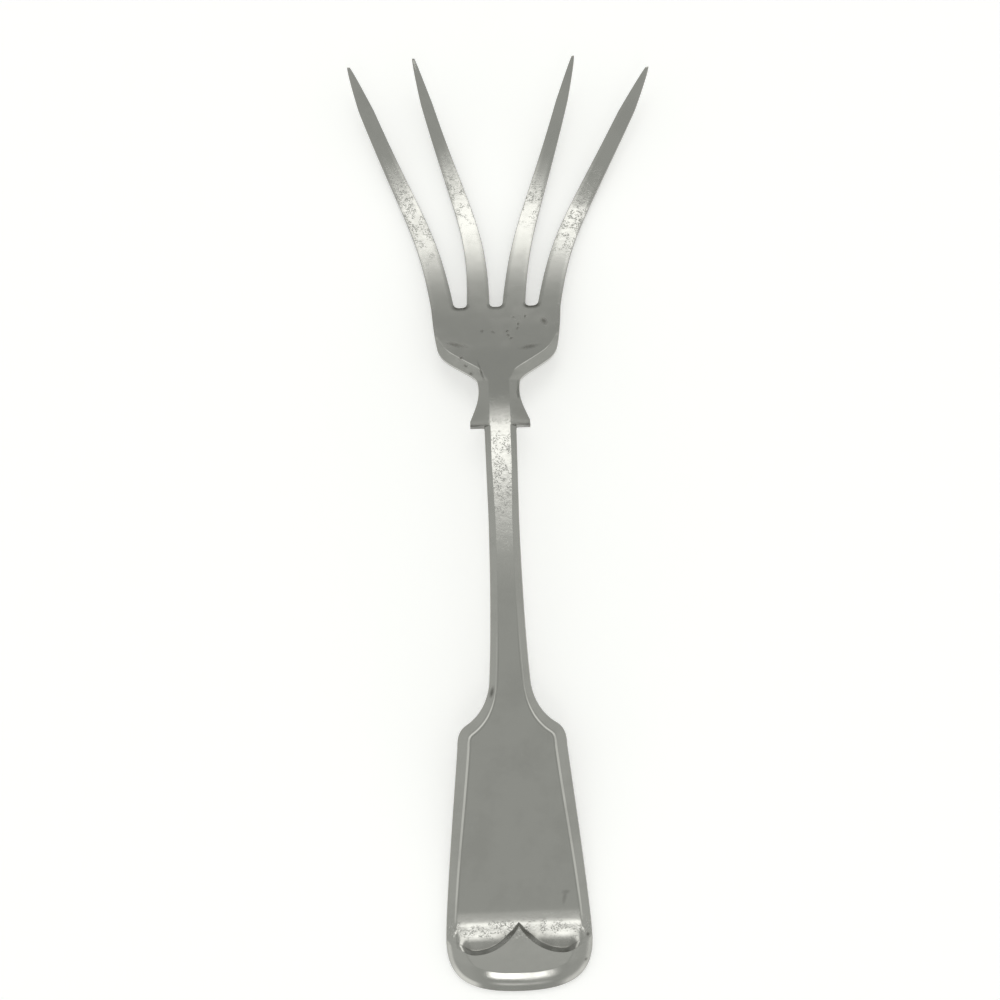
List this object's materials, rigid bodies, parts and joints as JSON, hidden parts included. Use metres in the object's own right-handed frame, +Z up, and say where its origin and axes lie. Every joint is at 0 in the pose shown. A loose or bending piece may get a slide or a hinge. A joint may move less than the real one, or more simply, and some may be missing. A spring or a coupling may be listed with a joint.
{
  "type": "serving fork",
  "caption": "Silver serving fork with a fiddle-shaped handle, raised bracket-edged tip, bevelled stem, flared neck and splayed pointed tines for lifting slices of cold food.",
  "frame": {"origin": "middle of the flat underside of the handle's end, where the fork rests on the table", "axes": "+Y along the fork towards the tines, +Z up out of its front face, +X to the right seen from above with the tines away from the viewer"},
  "size_m": [0.0582, 0.1768, 0.0119],
  "materials": {
    "silver": "satin"
  },
  "bodies": {
    "root": {"handle": "silver", "handle_tip": "silver", "stem": "silver", "neck": "silver", "palm": "silver", "tine_outer_left": "silver", "tine_inner_left": "silver", "tine_inner_right": "silver", "tine_outer_right": "silver"}
  },
  "joints": []
}
